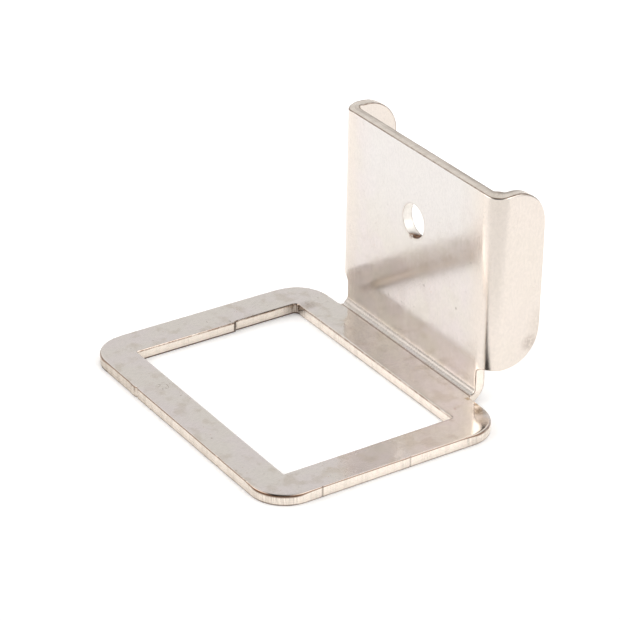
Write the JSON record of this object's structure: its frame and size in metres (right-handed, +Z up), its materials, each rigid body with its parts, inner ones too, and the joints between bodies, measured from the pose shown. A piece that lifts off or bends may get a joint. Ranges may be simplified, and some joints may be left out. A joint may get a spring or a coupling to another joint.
{
  "type": "roof anchor bracket",
  "caption": "Folded sheet-metal roof anchor: a flat rectangular strap frame joined by a neck to an upright plate with side flanges and a screw hole.",
  "frame": {"origin": "middle of the whole part in plan, on the underside of the flat frame", "axes": "+Z up from the flat frame, +Y from the frame towards the upright, X across the part's width"},
  "size_m": [0.06, 0.0578, 0.0394],
  "materials": {
    "plated_steel": "bright nickel plating on rolled sheet, warm grey, glossy with soft rolling and drawing lines, sheared edges"
  },
  "bodies": {
    "root": {"anchor_bracket": "plated_steel"}
  },
  "joints": []
}
